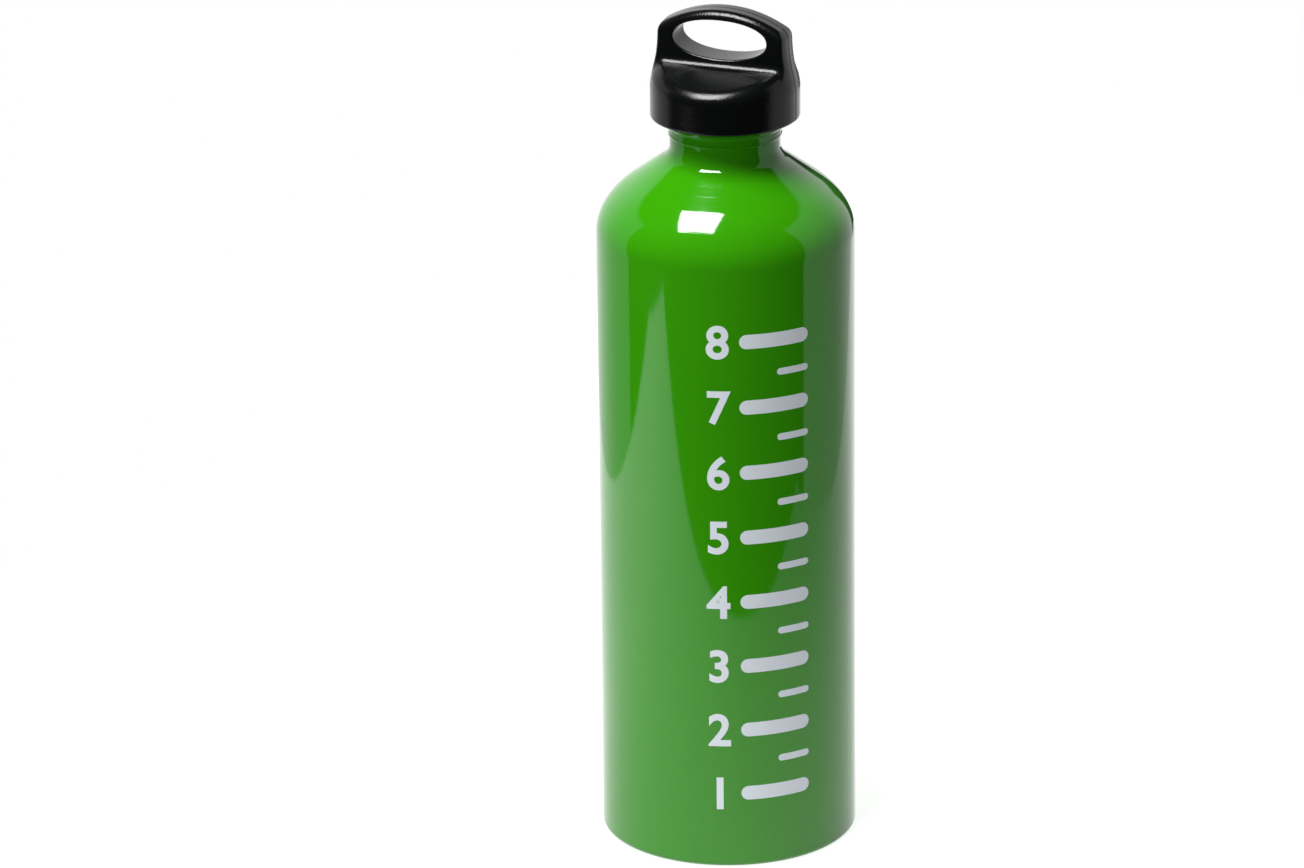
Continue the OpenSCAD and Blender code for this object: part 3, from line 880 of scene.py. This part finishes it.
class FUELBOTTLE_OT_stopper(bpy.types.Operator):
    """The stopper with its thread and ratchet teeth, and the seal under its flange"""

    bl_idname = "fuelbottle.stopper"
    bl_label = "Stopper"

    def execute(self, context):
        can, thread, plug = settings().can, settings().thread, settings().plug
        colours = settings().colours
        plastic = plug_finish(colours)
        top = plug.flange_z + plug.flange
        core = can.bore_radius - thread.depth - thread.play
        web_z = plug.pocket_z - plug.web
        post_z = (plug.pocket_z + top) / 2
        chamfer = 0.6 * MM
        guide = can.bore_radius - 0.3 * MM
        guide_z = plug.flange_z - 1.8 * MM
        profile = rounded([
            (0, web_z),
            (plug.hollow_radius, web_z),
            (plug.hollow_radius, plug.shank_z),
            (core - chamfer, plug.shank_z),
            (core, plug.shank_z + chamfer),
            (core, guide_z - chamfer),
            (guide, guide_z),
            (guide, plug.flange_z),
            (plug.flange_radius, plug.flange_z),
            (plug.flange_radius, top),
            (plug.pocket_radius, top),
            (plug.pocket_radius, plug.pocket_z),
            (plug.post_radius, plug.pocket_z),
            (plug.post_radius, post_z),
            (0, post_z)], 0.3 * MM)
        mesh = lathe("stopper_plug", [(profile, 0)], 160)
        body = link(mesh, "stopper_plug", "plug", [plastic])
        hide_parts("stopper")
        ridge = thread_ridge("stopper_thread", core, can.bore_radius - thread.play, thread,
                             plug.shank_z + thread.foot, can.rim_z - thread.foot, pi)
        link(ridge, "stopper_thread", "plug", [plastic])
        link(self.teeth(plug, top), "stopper_teeth", "plug", [plastic])
        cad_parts["seal_ring"].data.materials.clear()
        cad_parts["seal_ring"].data.materials.append(rubber_finish(colours))
        return {"FINISHED"}

    def teeth(self, plug, top):
        """The ratchet teeth on the flange, each with an upright flank and a ramp."""
        outer, inner = plug.flange_radius - 0.1 * MM, plug.flange_radius - plug.tooth_length
        foot = 2 * pi * (outer + inner) / 2 / plug.teeth * plug.tooth_share
        side = foot / 2
        ramp = min(plug.tooth, side)
        sunk = -0.3 * MM
        section = [(-side, sunk), (side, sunk), (side, 0), (side - ramp, plug.tooth), (-side, plug.tooth)]
        bm = bmesh.new()
        for n in range(plug.teeth):
            turn = Matrix.Rotation(2 * pi * n / plug.teeth, 4, "Z")
            ends = []
            for radius in (inner, outer):
                ring = []
                for u, w in section:
                    out = sqrt(radius * radius - u * u)
                    ring.append(bm.verts.new(turn @ Vector((out, u, top + w))))
                ends.append(ring)
            bm.faces.new(ends[0])
            bm.faces.new(ends[1])
            for i in range(len(section)):
                j = (i + 1) % len(section)
                bm.faces.new((ends[0][i], ends[0][j], ends[1][j], ends[1][i]))
        return finish_mesh(bm, "stopper_teeth")


class FUELBOTTLE_OT_spring(bpy.types.Operator):
    """The wire spring between stopper and cap, with closed end turns"""

    bl_idname = "fuelbottle.spring"
    bl_label = "Return spring"

    def execute(self, context):
        plug, cap = settings().plug, settings().cap
        low, high = plug.pocket_z + plug.wire / 2, cap.ceiling_z - plug.wire / 2
        turns, dead, sides = 4.5, 1.0, 14
        closed = 1.02 * plug.wire  # rise of an end turn, which lies against the next
        count = int(turns * 48)
        up = Vector((0, 0, 1))
        stations = []
        for n in range(count + 1):
            turn = turns * n / count
            live = min(max(turn - dead, 0.0), turns - 2 * dead) / (turns - 2 * dead)
            ends = closed * (min(turn, dead) + max(turn - turns + dead, 0.0))
            height = low + ends + (high - low - 2 * closed * dead) * live
            angle = 2 * pi * turn
            middle = Vector((plug.coil_radius * cos(angle), plug.coil_radius * sin(angle), height))
            out = Vector((cos(angle), sin(angle), 0))
            around = (2 * pi * k / sides for k in range(sides))
            stations.append([middle + plug.wire / 2 * (cos(a) * out + sin(a) * up) for a in around])
        mesh = swept("spring_wire", stations)
        piece = link(mesh, "spring_wire", "spring", [steel_finish(settings().colours)])
        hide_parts("return_spring")
        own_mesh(piece)
        return {"FINISHED"}


# Studio

class FUELBOTTLE_OT_studio(bpy.types.Operator):
    """The white sheet, the lamps, the surroundings and the camera"""

    bl_idname = "fuelbottle.studio"
    bl_label = "Studio"

    def execute(self, context):
        studio = settings().studio
        bpy.context.scene.view_settings.view_transform = "Standard"
        self.sheet(studio)
        self.surroundings(studio)
        self.lamps(studio)
        self.camera(studio)
        return {"FINISHED"}

    def sheet(self, studio):
        """The white sheet that the bottle stands on. It ends in front of the bottle, so that the can
        mirrors the dark room past its edge. What mirrors it sees a painted glow on it, brighter to the left
        and the back, as light from behind on the left would make it."""
        slant = sin(studio.lean)
        right, left = studio.sheet_right, -studio.sheet_left
        # Front right, back right, back left, and the two corners of the short left side
        corners = [
            (right, -studio.sheet_front + slant * right, 0),
            (right + 0.05, studio.sheet_back, 0),
            (0.1, studio.sheet_back, 0),
            (left - 0.025, -0.181, 0),
            (left, -studio.sheet_front + slant * left, 0),
        ]
        mesh = bpy.data.meshes.new("sheet")
        mesh.from_pydata(corners, [], [range(len(corners))])
        sheet = new_object("sheet", mesh)
        sheet.rotation_euler = (0, 0, studio.turn)
        sheet.location = (0, 0, -0.1 * MM)
        made, f = material("white_sheet")
        mesh.materials.append(made)
        point = f.point()
        seen, mirrored = f.rays()
        # Painted light: in mirrors the sheet glows brighter to the left and the back, standing in for light
        # that falls there from behind on the left
        painted_light_level = 1.2 - 1.6 * f.along(point, "X") + 2.0 * f.along(point, "Y")
        brightest = 1.5
        paper = f.node("ShaderNodeBsdfPrincipled", {}, {
            "Base Color": (0.7, 0.7, 0.7), "Roughness": 0.9, "Specular IOR Level": 0.0,
            "Emission Color": f.mix(seen, (0, 0, 0), (0.85, 0.85, 0.85)), "Emission Strength": 1.0})
        # Painted reflection: the glow that mirrors see on the sheet, in place of lit paper
        painted_reflection = f.node("ShaderNodeEmission", {}, {
            "Color": f.mix(painted_light_level / brightest, (0, 0, 0), (brightest,) * 3), "Strength": 1.0})
        shader = f.node("ShaderNodeMixShader", {}, {0: mirrored, 1: paper, 2: painted_reflection})
        f.node("ShaderNodeOutputMaterial", {}, {"Surface": shader})

    def surroundings(self, studio):
        """White where the camera looks. What mirrors it sees a pale room behind the bottle, dark overhead and
        in front, with a dark post behind to the right. Its other light is dim, and comes from the left."""
        world = bpy.data.worlds.new("studio")
        bpy.context.scene.world = world
        # Light sampled from the world would pass as neither seen nor mirrored
        world.cycles.sampling_method = "NONE"
        f = Finish(world)
        way = f.node("ShaderNodeTexCoord", output="Generated")

        def toward(*direction):
            """The cosine of the angle between a ray and a direction."""
            return f.node("ShaderNodeVectorMath", {"operation": "DOT_PRODUCT"}, {0: way, 1: direction},
                          "Value")

        nose = studio.turn - studio.lean
        front = toward(sin(nose), -cos(nose), 0)
        back = toward(-sin(studio.turn), cos(studio.turn), 0)
        right = toward(cos(studio.turn), sin(studio.turn), 0)
        up = toward(0, 0, 1)
        pale = (0.55 + 0.55 * back.over(0.35, 0.95)) * (1 - (up - 0.10 * right).over(0.62, 0.68))
        dark = front.over(0.07, 0.10)
        post = (right.over(0.20, 0.23) - right.over(0.44, 0.48)) * back.over(0.60, 0.65)
        post = post * (1 - up.over(0.12, 0.18))
        seen, mirrored = f.rays()
        room = pale * (1 - dark) * (1 - 0.96 * post) + 0.01 * dark
        level = mirrored * room + (1 - mirrored) * (0.28 - 0.28 * right)
        brightest = 1.2
        backdrop = f.mix(level / brightest, (0, 0, 0), (brightest,) * 3)
        shader = f.node("ShaderNodeBackground", {}, {
            "Color": f.mix(seen, backdrop, (1, 1, 1)), "Strength": 1.0})
        f.node("ShaderNodeOutputWorld", {}, {"Surface": shader})

    def lamps(self, studio):
        """A soft box nearly overhead, and a fill from the camera's side that shows in no mirror."""
        self.lamp(studio, "soft_box", way=(-0.310, -0.247, 0.921), distance=1.0, size=(0.48, 0.505),
                  power=16.0, mirrored=True)
        self.lamp(studio, "fill", way=(0.10, -0.95, 0.25), distance=1.2, size=(0.80, 0.80),
                  power=1.6, mirrored=False)

    def lamp(self, studio, name, way, distance, size, power, mirrored):
        """A flat lamp that faces the shoulder. Its first side runs as near to one slanting line as it can."""
        aim = Vector((0, 0, 0.21))
        data = bpy.data.lights.new(name, "AREA")
        data.shape = "RECTANGLE"
        data.size, data.size_y = size
        data.energy = power
        lamp = new_object(name, data)
        out = Vector(way).normalized()
        edge = Vector((0.43, -0.184, 0.0975))
        edge = (edge - edge.dot(out) * out).normalized()
        turn = Matrix.Rotation(studio.turn, 3, "Z")
        lamp.location = aim + turn @ out * distance
        lamp.rotation_euler = (turn @ Matrix((edge, out.cross(edge), out)).transposed()).to_euler()
        lamp.visible_glossy = mirrored

    def camera(self, studio):
        """Aimed so that the bottle stands right of the middle, as the picture has it."""
        data = bpy.data.cameras.new("camera")
        data.sensor_width = 36.0
        data.lens = studio.focal * data.sensor_width
        data.clip_start, data.clip_end = 0.1, 50.0
        camera = new_object("camera", data)
        stand = Matrix.Translation((0, -studio.distance, studio.height))
        tilt = Matrix.Rotation(pi / 2 - studio.pitch, 4, "X") @ Matrix.Rotation(studio.roll, 4, "Z")
        swing = Matrix.Rotation(atan2(studio.aside, studio.focal), 4, "Y")
        camera.matrix_world = Matrix.Rotation(studio.turn, 4, "Z") @ stand @ tilt @ swing
        bpy.context.scene.camera = camera


class FUELBOTTLE_PT_panel(bpy.types.Panel):
    """Lists the bottle's operators and settings"""

    bl_idname = "FUELBOTTLE_PT_panel"
    bl_label = "Fuel bottle"
    bl_space_type = "VIEW_3D"
    bl_region_type = "UI"
    bl_category = "Fuel bottle"

    def draw(self, context):
        for operator in OPERATORS:
            self.layout.operator(operator.bl_idname)
        for group, kind in GROUPS.items():
            box = self.layout.box()
            box.label(text=kind.__doc__.rstrip("."))
            for name in kind.__annotations__:
                box.prop(getattr(context.scene.fuel_bottle, group), name)


OPERATORS = (
    FUELBOTTLE_OT_can,
    FUELBOTTLE_OT_scale,
    FUELBOTTLE_OT_cap,
    FUELBOTTLE_OT_stopper,
    FUELBOTTLE_OT_spring,
    FUELBOTTLE_OT_studio,
)
CLASSES = (*GROUPS.values(), BottleSettings, *OPERATORS, FUELBOTTLE_PT_panel)


def register():
    for made in CLASSES:
        bpy.utils.register_class(made)
    bpy.types.Scene.fuel_bottle = PointerProperty(type=BottleSettings)


def unregister():
    del bpy.types.Scene.fuel_bottle
    for made in reversed(CLASSES):
        bpy.utils.unregister_class(made)


def main():
    register()
    for operator in OPERATORS:
        group, name = operator.bl_idname.split(".")
        getattr(getattr(bpy.ops, group), name)()


if __name__ == "__main__":
    main()
